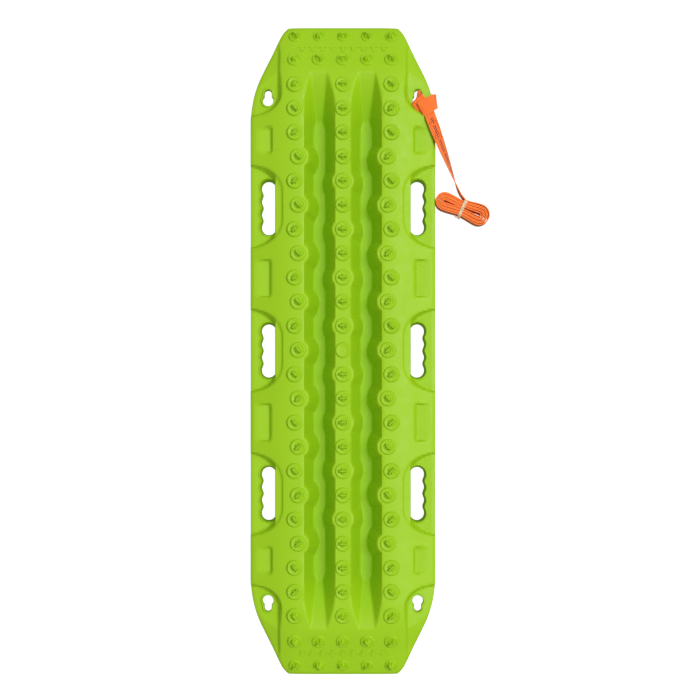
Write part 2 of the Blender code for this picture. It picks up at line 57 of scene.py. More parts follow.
# Camera and studio, in metres.
CAMERA_PLACE = (0.0124, -0.0971, 2.5)
CAMERA_SENSOR, CAMERA_LENS, CAMERA_SHIFT = 36.0, 72.09, 0.0795
FLOOR_REACH, FLOOR_DROP = 60.0, 0.0005
FLOOR_SHADE, FLOOR_GLOW = 0.35, 0.96
SKY_STRENGTH, UNDER_SKY_STRENGTH = 0.52, 0.08
KEY_DIRECTION, KEY_STRENGTH, KEY_SPREAD = (0.46, 0.15, 1.0), 2.10, 30.0

# Board outline and heights, close to the frame's.
END_HALF_WIDTH = 95.5
STRAIGHT_END = 400.0
SHOULDER_RADIUS = 200.0
SHOULDER_END = 487.0
TAPER = 0.465
CORNER = 16.0
CREST = 50.0
FLAT_END = 435.0
NOSE_RADIUS = 187.0
NOSE_SIN = math.sin(math.radians(22.0))
NOSE_SLOPE = math.tan(math.radians(22.0))
SIDE_SLOPE = math.tan(math.radians(17.3))
SKIRT = 14.0
SKIRT_WALL = 3.6
LIP_LOW = 1.0
RIM_STEP, RIM_STEP_START, RIM_STEP_END = 0.9, 2.8, 4.6
RIM_ROUND = 2.4
FLOOR = 4.5
WALL = 4.5

# Ridges and channels, measured outwards from the middle.
RIDGE_EDGE = 98.4
MID_RIDGE, MID_FOOT = 13.9, 30.7
OUTER_FOOT, OUTER_RIDGE = 52.3, 68.2
TIP_IN, TIP_OUT = 28.0, 57.0
RAMP_START, RAMP_END = 408.0, 489.0
FLARE_START = 430.0
RAMP_FOOT = 4.6
FOOT_FILLET = 2.2
EDGE_FILLET = 2.6
SIDE_FILLET = 7.0
CREASE_FILLET = 1.6

# Teeth and the buttresses below them.
PITCH = 42.3
LAST_FULL_ROW = 11
SIDE_BUTTRESS_ROWS = 8
MID_BUTTRESS_ROWS = 7
END_ROWS = (512.0, 557.0)
END_SHARES = {512.0: 0.9, 557.0: 0.78}
COLUMN, COLUMN_IN, END_COLUMN, END_MIDDLE = 84.4, 78.5, 85.0, 42.6
BUTTRESS_TOP = 19.0
BUTTRESS_SLOPE = 2.68

# Handles.
HANDLE_ROWS = (-253.0, 0.0, 253.0)
SLOT_X, SLOT_LENGTH, SLOT_WIDTH = 131.4, 94.0, 24.5
FINGER_PITCH, FINGER_RISE = 23.0, 3.0
POCKET_FLOOR = 25.0
POCKET_X, POCKET_Y = 175.0, 21.0
POCKET_REACH_X, POCKET_REACH_Y = 70.0, 53.0
POCKET_ROUND = 2.2
POCKET_DROP = 150.0
LEDGE_INNER, LEDGE_OUTER = 106.8, 119.2
LEDGE_HEIGHT, LEDGE_TILT, LEDGE_FALL = 42.4, 0.14, 3.2

# Keyholes.
KEYHOLE_X, KEYHOLE_Y = 132.0, 441.0
KEYHOLE_BIG, KEYHOLE_SMALL, KEYHOLE_STEP = 9.5, 6.4, 12.6
CORNER_FLOOR = 24.0
CORNER_TILT = 0.14
CORNER_REACH_X, CORNER_REACH_Y, CORNER_START = 49.0, 37.0, 452.0
CORNER_DEPTH = 6.0
CORNER_FADE_START, CORNER_FADE_END = 520.0, 552.0

# Level pads on the sides: middle across, middle along, half sizes, floor height.
PADS = ((142.0, 126.4, 13.0, 31.0, 32.4), (139.0, 369.0, 12.0, 21.5, 33.6))

# Leash.
TAPE_WIDTH = 25.0
TAPE_THICK = 1.9


# ---------------------------------------------------------------- camera, floor and light

def make_camera():
    """Looks straight down; the board is framed a little above the lens axis, hence the shift."""
    data = bpy.data.cameras.new("camera")
    data.sensor_width = CAMERA_SENSOR
    data.lens = CAMERA_LENS
    data.shift_y = CAMERA_SHIFT
    camera = bpy.data.objects.new("camera", data)
    camera.location = CAMERA_PLACE
    bpy.context.scene.collection.objects.link(camera)
    bpy.context.scene.camera = camera


def sun_light(name, direction, strength, spread):
    data = bpy.data.lights.new(name, 'SUN')
    data.energy = strength
    data.angle = math.radians(spread)
    lamp = bpy.data.objects.new(name, data)
    lamp.rotation_euler = Vector(direction).to_track_quat('Z', 'Y').to_euler()
    bpy.context.scene.collection.objects.link(lamp)


def make_floor():
    """A white floor that glows, so no shadow shows on it; it throws no light back on the object."""
    mesh = bpy.data.meshes.new("floor")
    reach = FLOOR_REACH
    mesh.from_pydata([(-reach, -reach, 0), (reach, -reach, 0), (reach, reach, 0), (-reach, reach, 0)],
                     [], [(0, 1, 2, 3)])
    floor = bpy.data.objects.new("floor", mesh)
    floor.location.z = -FLOOR_DROP
    bpy.context.scene.collection.objects.link(floor)
    look = bpy.data.materials.new("floor_white")
    look.use_nodes = True
    shader = look.node_tree.nodes["Principled BSDF"]
    shader.inputs["Base Color"].default_value = (FLOOR_SHADE, FLOOR_SHADE, FLOOR_SHADE, 1)
    shader.inputs["Roughness"].default_value = 0.9
    shader.inputs["Specular IOR Level"].default_value = 0.1
    shader.inputs["Emission Color"].default_value = (1, 1, 1, 1)
    shader.inputs["Emission Strength"].default_value = FLOOR_GLOW
    mesh.materials.append(look)
    floor.visible_diffuse = False
    floor.visible_glossy = False


def make_sky():
    """An even white sky that is nearly dark below the horizon."""
    world = bpy.context.scene.world or bpy.data.worlds.new("world")
    bpy.context.scene.world = world
    world.use_nodes = True
    nodes = world.node_tree.nodes
    links = world.node_tree.links
    back = nodes["Background"]
    back.inputs["Color"].default_value = (1.0, 1.0, 1.0, 1)
    direction = nodes.new("ShaderNodeTexCoord").outputs["Generated"]
    height = nodes.new("ShaderNodeSeparateXYZ")
    sky = nodes.new("ShaderNodeMapRange")
    sky.inputs["From Min"].default_value = -0.06
    sky.inputs["From Max"].default_value = -0.005
    sky.inputs["To Min"].default_value = UNDER_SKY_STRENGTH
    sky.inputs["To Max"].default_value = SKY_STRENGTH
    links.new(direction, height.inputs[0])
    links.new(height.outputs[2], sky.inputs["Value"])
    links.new(sky.outputs[0], back.inputs["Strength"])


def make_studio():
    """A pale floor, a white surround and soft light from the upper right, shown without a film curve."""
    make_floor()
    make_sky()
    sun_light("key", KEY_DIRECTION, KEY_STRENGTH, KEY_SPREAD)
    bpy.context.scene.view_settings.view_transform = 'Standard'


# ---------------------------------------------------------------- mesh helpers

def solid(rings, closed_loop=False):
    """A bmesh through rings of equal length, with capped ends, or joined up when closed_loop."""
    mesh = bmesh.new()
    rows = [[mesh.verts.new(point) for point in ring] for ring in rings]
    pairs = list(zip(rows, rows[1:]))
    if closed_loop:
        pairs.append((rows[-1], rows[0]))
    for low, high in pairs:
        for i in range(len(low)):
            j = (i + 1) % len(low)
            mesh.faces.new((low[i], low[j], high[j], high[i]))
    if not closed_loop:
        mesh.faces.new(list(reversed(rows[0])))
        mesh.faces.new(rows[-1])
    bmesh.ops.recalc_face_normals(mesh, faces=mesh.faces)
    return mesh


def place(name, mesh, look=None):
    """Turns a bmesh in millimetres into an object in the scene."""
    bmesh.ops.scale(mesh, vec=(MM, MM, MM), verts=mesh.verts)
    data = bpy.data.meshes.new(name)
    mesh.to_mesh(data)
    mesh.free()
    piece = bpy.data.objects.new(name, data)
    bpy.context.scene.collection.objects.link(piece)
    if look:
        data.materials.append(look)
    return piece


def join(meshes):
    """Several bmeshes as one, each still a body of its own."""
    whole = bmesh.new()
    for each in meshes:
        held = bpy.data.meshes.new("part")
        each.to_mesh(held)
        each.free()
        whole.from_mesh(held)
        bpy.data.meshes.remove(held)
    return whole


def combine(piece, steps):
    """Applies Booleans in turn: each step is (operation, bmesh in millimetres)."""
    for operation, mesh in steps:
        other = place("other", mesh)
        step = piece.modifiers.new(operation, 'BOOLEAN')
        step.operation = operation
        step.solver = 'MANIFOLD'
        step.object = other
        graph = bpy.context.evaluated_depsgraph_get()
        made = bpy.data.meshes.new_from_object(piece.evaluated_get(graph))
        piece.modifiers.clear()
        old = piece.data
        piece.data = made
        bpy.data.meshes.remove(old)
        bpy.data.objects.remove(other)


def smooth(piece, degrees):
    piece.data.shade_smooth()
    piece.data.set_sharp_from_angle(angle=math.radians(degrees))


def grown(outline, amount):
    """An anticlockwise outline moved outwards by amount."""
    moved = []
    count = len(outline)
    for i, (x, y) in enumerate(outline):
        before = Vector(outline[i - 1])
        after = Vector(outline[(i + 1) % count])
        here = Vector((x, y))
        one = (here - before).normalized()
        two = (after - here).normalized()
        normal = Vector((one.y + two.y, -one.x - two.x)).normalized()
        lean = max(0.5, normal.dot(Vector((one.y, -one.x))))
        moved.append(tuple(here + normal * amount / lean))
    return moved


def mirrored(outline):
    return [(-x, y) for x, y in reversed(outline)]


def flipped(outline):
    return [(x, -y) for x, y in reversed(outline)]


def stack(outlines_and_heights):
    """A solid through (outline, height) pairs."""
    return solid([[(x, y, z) for x, y in outline] for outline, z in outlines_and_heights])


# ---------------------------------------------------------------- board surface

def clip01(value):
    return np.clip(value, 0.0, 1.0)


def ease(low, high, value):
    t = clip01((value - low) / (high - low))
    return t * t * (3 - 2 * t)


def mix(a, b, share):
    return a + (b - a) * share


def soft_min(a, b, size):
    """Minimum with a fillet about size wide."""
    size = np.maximum(size, 1e-6)
    share = clip01(0.5 + 0.5 * (b - a) / size)
    return b + (a - b) * share - size * share * (1 - share)


def soft_max(a, b, size):
    return -soft_min(-a, -b, size)


def half_width(y):
    a = np.abs(y)
    curved = np.clip(a, STRAIGHT_END, SHOULDER_END) - STRAIGHT_END
    wide = HALF_WIDTH - SHOULDER_RADIUS + np.sqrt(SHOULDER_RADIUS ** 2 - curved ** 2)
    wide = wide - TAPER * np.maximum(0.0, a - SHOULDER_END)
    into = clip01((a - (HALF_LENGTH - CORNER)) / CORNER)
    return wide - (wide - END_HALF_WIDTH) * (1 - np.sqrt(1 - into ** 2))


def crest(y):
    a = np.maximum(0.0, np.abs(y) - FLAT_END)
    curved = np.minimum(a, NOSE_RADIUS * NOSE_SIN)
    return CREST - NOSE_RADIUS + np.sqrt(NOSE_RADIUS ** 2 - curved ** 2) - NOSE_SLOPE * (a - curved)


def rim_height(y):
    edge = np.minimum(RIDGE_EDGE, half_width(y) - 8)
    return crest(y) - (half_width(y) - edge) * SIDE_SLOPE


def skirt_low(y):
    return np.maximum(rim_height(y) - SKIRT, LIP_LOW)


def cone(c, y, x, start, last):
    """Height of the row of conical buttresses at x, one every second tooth row."""
    step = 2 * PITCH
    row = np.clip(np.round((y - start) / step), -last, last) * step + start
    return crest(y) + BUTTRESS_SLOPE * (BUTTRESS_TOP - np.hypot(c - x, y - row))


def channel(c, y):
    """Ridges, channels with ramped ends, and buttresses."""
    a = np.abs(y)
    high = crest(y)
    share = clip01((a - RAMP_START) / (RAMP_END - RAMP_START))
    floor = mix(FLOOR, high, share)
    pinch = RAMP_FOOT * ease(RAMP_START - 16, RAMP_START + 2, a)
    foot_in = mix(MID_FOOT + pinch, TIP_IN + 0.3, share)
    foot_out = mix(OUTER_FOOT - pinch, TIP_OUT - 0.3, share)
    flare = clip01((a - FLARE_START) / (RAMP_END - FLARE_START)) ** 1.5
    edge_in = mix(MID_RIDGE, TIP_IN, flare)
    edge_out = mix(OUTER_RIDGE, TIP_OUT, flare)
    inner = floor + (high - floor) * (foot_in - c) / (foot_in - edge_in)
    outer = floor + (high - floor) * (c - foot_out) / (edge_out - foot_out)
    wall = np.maximum(inner, outer)
    wall = soft_max(wall, cone(c, y, COLUMN_IN, 0.0, SIDE_BUTTRESS_ROWS // 2), CREASE_FILLET)
    odd = (MID_BUTTRESS_ROWS - 1) // 2
    middle = np.maximum(cone(c, y, 0.0, PITCH, odd), cone(c, y, 0.0, -PITCH, odd))
    wall = soft_max(wall, middle, CREASE_FILLET)
    depth = high - floor
    z = soft_max(floor, wall, np.minimum(FOOT_FILLET, 0.8 * depth))
    return soft_min(high, z, np.minimum(EDGE_FILLET, 0.8 * depth))


def cup(z, floor, rise, distance, foot, lip):
    """Sinks a recess into z: distance is measured outwards from the recess's floor."""
    bowl = soft_max(floor + 0 * distance, floor + rise * distance, foot)
    return soft_min(z, bowl, lip)


def box_distance(px, py, corner):
    qx = px + corner
    qy = py + corner
    outside = np.hypot(np.maximum(qx, 0), np.maximum(qy, 0))
    return outside + np.minimum(np.maximum(qx, qy), 0) - corner


def top(x, y, rim=True):
    """Height of the board's upper surface."""
    c = np.abs(x)
    a = np.abs(y)
    wide = half_width(y)
    edge = np.minimum(RIDGE_EDGE, wide - 8)
    z = soft_min(channel(c, y), crest(y) - SIDE_SLOPE * (c - edge), SIDE_FILLET)
    for row in HANDLE_ROWS:
        b = np.abs(y - row)
        out = np.maximum(POCKET_X - c, 0) / POCKET_REACH_X
        along = np.maximum(b - POCKET_Y, 0) / POCKET_REACH_Y
        inside = 1 - (out ** POCKET_ROUND + along ** POCKET_ROUND) ** (1 / POCKET_ROUND)
        bowl = soft_max(z - POCKET_DROP * np.maximum(inside, 0), POCKET_FLOOR + 0 * c, 1.2)
        ledge = LEDGE_HEIGHT - LEDGE_TILT * (c - LEDGE_INNER)
        ledge = ledge - LEDGE_FALL * np.maximum(c - LEDGE_OUTER, 0)
        z = np.where(inside > 0, np.minimum(z, soft_max(bowl, ledge, 1.6)), z)
    ellipse = np.hypot((HALF_WIDTH - c) / CORNER_REACH_X, np.maximum(CORNER_START - a, 0) / CORNER_REACH_Y)
    distance = (ellipse - 1) * (CORNER_REACH_X + CORNER_REACH_Y) / 2
    level = CORNER_FLOOR + CORNER_TILT * (HALF_WIDTH - c)
    depth = CORNER_DEPTH * (1 - ease(CORNER_FADE_START, CORNER_FADE_END, a))
    z = cup(z, np.minimum(level, z - depth), 2.3, distance, 1.4, 1.4)
    for x_mid, y_mid, x_half, y_half, floor in PADS:
        distance = box_distance(np.abs(c - x_mid) - x_half, np.abs(a - y_mid) - y_half, 4.0)
        z = cup(z, floor, 2.4, distance, 2.0, 2.0)
    if not rim:
        return z
    inside = np.minimum(wide - c, HALF_LENGTH - a)
    z = z - RIM_STEP * (1 - ease(RIM_STEP_START, RIM_STEP_END, inside))
    drop = np.clip(RIM_ROUND - inside, 0, RIM_ROUND)
    return z - (RIM_ROUND - np.sqrt(RIM_ROUND ** 2 - drop ** 2))


def underside(x, y):
    """The upper surface moved in by the wall, which is a rolling-ball offset."""
    low = top(x, y, rim=False) - WALL
    for share in (0.5, 0.85, 1.0):
        radius = WALL * share
        fall = math.sqrt(WALL ** 2 - radius ** 2)
        for i in range(12):
            turn = math.pi * i / 6
            moved = top(x + radius * math.cos(turn), y + radius * math.sin(turn), rim=False)
            low = np.minimum(low, moved - fall)
    return np.maximum(low, 0.0)


def spaced(spans):
    """Places from the first span's start to the last one's end; each span is (end, spacing)."""
    places = [0.0]
    for end, step in spans:
        start = places[-1]
        count = max(1, round((end - start) / step))
        places += [start + (end - start) * (i + 1) / count for i in range(count)]
    return places


def symmetric(places):
    return np.array([-p for p in reversed(places[1:])] + places)


def grid_faces(rows, columns, first, flip):
    corner = first + np.arange(rows - 1)[:, None] * columns + np.arange(columns - 1)[None, :]
    quads = np.stack([corner, corner + 1, corner + columns + 1, corner + columns], axis=-1)
    quads = quads.reshape(-1, 4)
    return quads[:, ::-1] if flip else quads


def border(rows, columns):
    """Indices of a grid's border, once round."""
    index = np.arange(rows * columns).reshape(rows, columns)
    return np.concatenate([index[0, :-1], index[:-1, -1], index[-1, :0:-1], index[:0:-1, 0]])


def board_shell():
    """The moulded shell: a fine upper surface, a coarser underside and a skirt between them."""
    edge = HALF_WIDTH
    x_places = symmetric(spaced(((11, 3.6), (70, 1.9), (94, 4.8), (102, 1.6), (edge - 3, 2.3),
                                 (edge - 0.8, 1.1), (edge, 0.4))))
    end = HALF_LENGTH
    y_places = symmetric(spaced(((end - 20, 3.2), (end - 4, 1.7), (end - 0.8, 0.8), (end, 0.4))))
    coarse = 2
    x_places = pad_to(x_places, coarse)
    y_places = pad_to(y_places, coarse)
    share = x_places / edge
    y = np.repeat(y_places[:, None], len(share), 1)
    x = share[None, :] * half_width(y)
    upper = np.stack([x, y, top(x, y)], axis=-1).reshape(-1, 3)

    y_in = np.repeat((y_places[::coarse] * (1 - SKIRT_WALL / end))[:, None], len(share[::coarse]), 1)
    x_in = share[None, ::coarse] * (half_width(y_in) - SKIRT_WALL)
    lower = np.stack([x_in, y_in, underside(x_in, y_in)], axis=-1).reshape(-1, 3)

    rows, columns = len(y_places), len(share)
    rows_in, columns_in = y_in.shape
    loop_out = border(rows, columns)
    loop_in = border(rows_in, columns_in)
    hem_out = upper[loop_out].copy()
    hem_out[:, 2] = skirt_low(hem_out[:, 1])
    hem_in = lower[loop_in].copy()
    hem_in[:, 2] = skirt_low(hem_in[:, 1])

    first_lower = len(upper)
    first_hem_out = first_lower + len(lower)
    first_hem_in = first_hem_out + len(hem_out)
    quads = [grid_faces(rows, columns, 0, False), grid_faces(rows_in, columns_in, first_lower, True)]

    def band(one, two, flip):
        after_one = np.roll(one, -1)
        after_two = np.roll(two, -1)
        made = np.stack([one, two, after_two, after_one], axis=-1)
        return made[:, ::-1] if flip else made

    outer_ring = first_hem_out + np.arange(len(loop_out))
    inner_ring = first_hem_in + np.arange(len(loop_in))
    quads.append(band(loop_out, outer_ring, False))
    quads.append(band(first_lower + loop_in, inner_ring, True))
    faces = [tuple(q) for q in np.concatenate(quads).tolist()]
    count = len(outer_ring)
    for j, here in enumerate(inner_ring):
        there = inner_ring[(j + 1) % len(inner_ring)]
        fine = [outer_ring[(j * coarse + m) % count] for m in range(coarse + 1)]
        faces.append((int(fine[0]), int(here), int(fine[1])))
        faces.append((int(fine[1]), int(here), int(there)))
        faces.append((int(fine[1]), int(there), int(fine[2])))
    data = bpy.data.meshes.new("board_shell")
    points = np.concatenate([upper, lower, hem_out, hem_in]) * MM
    data.from_pydata(points.tolist(), [], faces)
    fixed = bmesh.new()
    fixed.from_mesh(data)
    bmesh.ops.recalc_face_normals(fixed, faces=fixed.faces)
    fixed.to_mesh(data)
    fixed.free()
    shell = bpy.data.objects.new("board_shell", data)
    bpy.context.scene.collection.objects.link(shell)
    return shell


def pad_to(places, step):
    """Adds places near the middle until the spans divide by step."""
    places = list(places)
    while (len(places) - 1) % (2 * step):
        middle = len(places) // 2
        here = (places[middle] + places[middle + 1]) / 2
        places.insert(middle + 1, here)
        places.insert(middle, -here)
    return np.array(places)


# ---------------------------------------------------------------- teeth

def teeth_places():
    """(x, y, blade angle) of every tooth but the plain gate disc in the middle."""
    places = []
    for k in range(-LAST_FULL_ROW, LAST_FULL_ROW + 1):
        column = COLUMN_IN if k % 2 == 0 and abs(k) <= SIDE_BUTTRESS_ROWS else COLUMN
        lean = math.pi / 4 * (-1 if k % 2 else 1) * (1 if k >= 0 else -1)
        if k:
            places.append((0.0, k * PITCH, 0.0))
        places.append((column, k * PITCH, lean))
        places.append((-column, k * PITCH, -lean))
    for sign in (-1, 1):
        for y, turn in zip(END_ROWS, (1, -1)):
            for i, x in enumerate((-END_COLUMN, -END_MIDDLE, 0.0, END_MIDDLE, END_COLUMN)):
                lean = 0.0 if i == 2 else math.pi / 4 * turn * (1, -1, 0, 1, -1)[i]
                places.append((x, sign * y, sign * lean))
    return places


def seat(mesh, x, y, lean):
    """Moves a tooth's mesh from the origin onto the ridge, square to its slope."""
    slope = math.atan2(float(crest(y + 0.5) - crest(y - 0.5)), 1.0)
    matrix = Matrix.Translation((x, y, float(crest(y))))
    matrix = matrix @ Matrix.Rotation(slope, 4, 'X') @ Matrix.Rotation(lean, 4, 'Z')
    bmesh.ops.transform(mesh, matrix=matrix, verts=mesh.verts)
    return mesh


def turned(profile, sides):
    """A solid of revolution through (radius, height) pairs."""
    rings = []
    for radius, high in profile:
        turns = [2 * math.pi * i / sides for i in range(sides)]
        rings.append([(radius * math.cos(t), radius * math.sin(t), high) for t in turns])
    return solid(rings)


def ridge_block(half_long, half_wide, tip_long, tip_wide, low, high, quarter):
    """A tapered block; with quarter, its long side is turned across the blade."""
    rings = []
    for long, wide, z in ((half_long, half_wide, low), (tip_long, tip_wide, high)):
        ring = [(-long, -wide, z), (long, -wide, z), (long, wide, z), (-long, wide, z)]
        rings.append([(-b, a, z) for a, b, z in ring] if quarter else ring)
    return solid(rings)


# A tooth: its disc as (radius, height) pairs, then each ridge's half length and half width at the foot,
# the same at the tip, and the two heights.
DISC = ((14.8, -1.4), (13.9, 0.5), (12.6, 2.5), (11.9, 3.05), (11.1, 3.25), (10.4, 3.1), (9.6, 2.6),
        (5.0, 2.6))
DISC_SIDES = 26
BLADE = (7.4, 3.4, 5.2, 0.8, 2.0, 11.0)
GUSSET = (7.0, 3.2, 1.8, 1.3, 2.0, 8.2)


def teeth_meshes():
    discs, blades, gussets = [], [], []
    for x, y, lean in teeth_places() + [(0.0, 0.0, 0.0)]:
        share = END_SHARES.get(abs(y), 1.0)
        profile = [(radius * share, high * share) for radius, high in DISC]
        discs.append(seat(turned(profile, DISC_SIDES), x, y, lean))
        if x or y:
            blades.append(seat(ridge_block(*BLADE, False), x, y, lean))
            gussets.append(seat(ridge_block(*GUSSET, True), x, y, lean))
    return join(discs), join(blades), join(gussets)


# ---------------------------------------------------------------- holes, lips and marks

def slot_outline(y):
    """Handle slot on the right side; its outer edge has four finger hollows."""
    radius = SLOT_WIDTH / 2
    reach = SLOT_LENGTH / 2 - radius
    points = []
    steps = 44
    for i in range(steps + 1):
        along = -reach + 2 * reach * i / steps
        bump = 0.5 + 0.5 * math.cos(2 * math.pi * along / FINGER_PITCH)
        inside = max(0.0, 1 - (abs(along) / (1.5 * FINGER_PITCH)) ** 8)
        points.append((SLOT_X + radius - FINGER_RISE * bump * inside, y + along))
    for end, start in ((1, 0.0), (-1, math.pi)):
        for i in range(1, 16):
            turn = start + math.pi * i / 16
            points.append((SLOT_X + radius * math.cos(turn), y + end * reach + radius * math.sin(turn)))
        if end > 0:
            points += [(SLOT_X - radius, y + reach * (1 - i / 6)) for i in range(0, 13)]
    return points


def keyhole_outline(extra):
    """A big round hole with a straight-sided neck that runs into a small one, wider by extra."""
    big = KEYHOLE_BIG + extra
    small = KEYHOLE_SMALL + extra
    trim = math.asin(small / big)
    points = []
    for radius, step, start, sweep, count in ((big, 0.0, math.pi / 2 + trim, 2 * (math.pi - trim), 28),
                                              (small, KEYHOLE_STEP, 0.0, math.pi, 16)):
        for i in range(count + 1):
            turn = start + sweep * i / count
            points.append((KEYHOLE_X + radius * math.cos(turn), KEYHOLE_Y + step + radius * math.sin(turn)))
    return points


def holes_and_lips():
    """Collars with rounded lips, and the holes cut through them."""
    collars, cuts = [], []
    floor = POCKET_FLOOR
    slot_lip = ((6.2, 9.0), (6.2, floor - 0.9), (5.8, floor + 0.2), (5.0, floor + 0.8), (4.2, floor + 1.0))
    slot_cut = ((0.0, 5.0), (0.0, 8.5), (1.1, 15.0), (2.5, floor - 2.0), (3.1, floor + 0.2),
                (4.0, floor + 0.95), (4.8, 60.0))
    for row in HANDLE_ROWS:
        for turn_over in (False, True):
            base = slot_outline(row)

            def ring(amount):
                kept = [(max(x, SLOT_X - SLOT_WIDTH / 2), y) for x, y in grown(base, amount)]
                return mirrored(kept) if turn_over else kept

            collars.append(stack([(ring(amount), z) for amount, z in slot_lip]))
            cuts.append(stack([(ring(amount), z) for amount, z in slot_cut]))
            side = [(LEDGE_OUTER - 4.2, row - 45), (LEDGE_OUTER + 0.4, row - 45),
                    (LEDGE_OUTER + 0.4, row + 45), (LEDGE_OUTER - 4.2, row + 45)]
            side = mirrored(side) if turn_over else side
            collars.append(stack([(side, 9.0), (side, 36.0)]))
    floor = CORNER_FLOOR + CORNER_TILT * (HALF_WIDTH - KEYHOLE_X)
    hole_lip = ((3.4, 18.0), (3.4, floor + 0.2), (2.9, floor + 1.0), (2.0, floor + 1.4), (1.4, floor + 1.4))
    hole_cut = ((0.0, 5.0), (0.0, floor - 1.0), (0.5, floor + 0.6), (1.2, floor + 1.35), (1.8, 60.0))
    for over in (False, True):
        for end in (False, True):

            def ring(amount):
                outline = keyhole_outline(amount)
                outline = mirrored(outline) if over else outline
                return flipped(outline) if end else outline

            collars.append(stack([(ring(amount), z) for amount, z in hole_lip]))
            cuts.append(stack([(ring(amount), z) for amount, z in hole_cut]))
    return join(collars), join(cuts)


ARROW = [(-3.0, -7.0), (3.0, -7.0), (3.0, 0.0), (7.5, 0.0), (0.0, 8.0), (-7.5, 0.0), (-3.0, 0.0)]
ARROW_PITCH = 18.0


def arrows():
    """Small raised arrows between the two end rows, pointing to the end of the board."""
    marks = []
    for sign in (-1, 1):
        for i in range(-4, 5):
            tip = grown(ARROW, -0.3)
            rings = [[(x, y * sign, z) for x, y in ring] for ring, z in ((ARROW, -1.5), (tip, 1.1))]
            marks.append(seat(solid(rings), ARROW_PITCH * i, sign * sum(END_ROWS) / 2, 0.0))
    return join(marks)


def make_board(look):
    shell = board_shell()
    collars, cuts = holes_and_lips()
    discs, blades, gussets = teeth_meshes()
    combine(shell, [('UNION', collars), ('UNION', discs), ('UNION', blades), ('UNION', gussets),
                    ('UNION', arrows()), ('DIFFERENCE', cuts)])
    shell.name = "board_moulding"
    shell.data.materials.clear()
    shell.data.materials.append(look)
    smooth(shell, 38)
    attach(shell, "board")
    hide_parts("board")


# ---------------------------------------------------------------- materials

class Nodes:
    """Short calls for building a material's node tree."""

    def __init__(self, name):
        self.material = bpy.data.materials.new(name)
        self.material.use_nodes = True
        self.tree = self.material.node_tree
        self.shader = self.tree.nodes["Principled BSDF"]

    def add(self, kind, **settings):
        node = self.tree.nodes.new(kind)
        for key, value in settings.items():
            setattr(node, key, value)
        return node

    def link(self, source, target):
        self.tree.links.new(source, target)

    def noise(self, where, scale, detail=3.0, rough=0.5):
        node = self.add("ShaderNodeTexNoise")
        node.inputs["Scale"].default_value = scale
        node.inputs["Detail"].default_value = detail
        node.inputs["Roughness"].default_value = rough
        self.link(where, node.inputs["Vector"])
        return node.outputs["Fac"]

    def ramp(self, value, low, high, dark, light):
        node = self.add("ShaderNodeValToRGB")
        node.color_ramp.elements[0].position = low
        node.color_ramp.elements[0].color = (*dark, 1)
        node.color_ramp.elements[1].position = high
        node.color_ramp.elements[1].color = (*light, 1)
        self.link(value, node.inputs["Fac"])
        return node.outputs["Color"]

    def fit(self, value, low, high, to_low, to_high):
        node = self.add("ShaderNodeMapRange")
        for key, number in zip(("From Min", "From Max", "To Min", "To Max"), (low, high, to_low, to_high)):
            node.inputs[key].default_value = number
        self.link(value, node.inputs["Value"])
        return node.outputs["Result"]

    def math(self, operation, one, two=None):
        node = self.add("ShaderNodeMath", operation=operation)
        for i, value in enumerate((one, two)):
            if value is None:
                continue
            if isinstance(value, (int, float)):
                node.inputs[i].default_value = value
            else:
                self.link(value, node.inputs[i])
        return node.outputs[0]

    def mix_colour(self, share, one, two):
        node = self.add("ShaderNodeMix", data_type='RGBA')
        for socket, value in ((node.inputs["Factor"], share), (node.inputs[6], one), (node.inputs[7], two)):
            if isinstance(value, (int, float)):
                socket.default_value = value
            elif isinstance(value, tuple):
                socket.default_value = (*value, 1)
            else:
                self.link(value, socket)
        return node.outputs[2]

    def bump(self, height, strength, distance, before=None):
        node = self.add("ShaderNodeBump")
        node.inputs["Strength"].default_value = strength
        node.inputs["Distance"].default_value = distance
        self.link(height, node.inputs["Height"])
        if before:
            self.link(before, node.inputs["Normal"])
        return node.outputs["Normal"]


def nylon_look():
    """Lime nylon: a fine moulded grain, slow shade changes and faint flow marks."""
    n = Nodes("lime_nylon")
    where = n.add("ShaderNodeTexCoord").outputs["Object"]
    slow = n.noise(where, 7.0, 2.0)
    speck = n.noise(where, 900.0, 2.0, 0.6)
    base = n.ramp(slow, 0.3, 0.7, (0.300, 0.545, 0.005), (0.318, 0.568, 0.007))
    tint = n.ramp(speck, 0.35, 0.65, (0.290, 0.534, 0.004), (0.328, 0.580, 0.009))
    n.link(n.mix_colour(0.3, base, tint), n.shader.inputs["Base Color"])
    n.link(n.fit(n.noise(where, 60.0, 4.0), 0.3, 0.7, 0.44, 0.58), n.shader.inputs["Roughness"])
    grain = n.bump(n.noise(where, 1400.0, 2.0, 0.6), 0.25, 0.00012)
    waves = n.bump(n.noise(where, 22.0, 2.0), 0.10, 0.0015, grain)
    n.link(waves, n.shader.inputs["Normal"])
    n.shader.inputs["IOR"].default_value = 1.5
    n.shader.inputs["Specular IOR Level"].default_value = 0.27
    return n.material


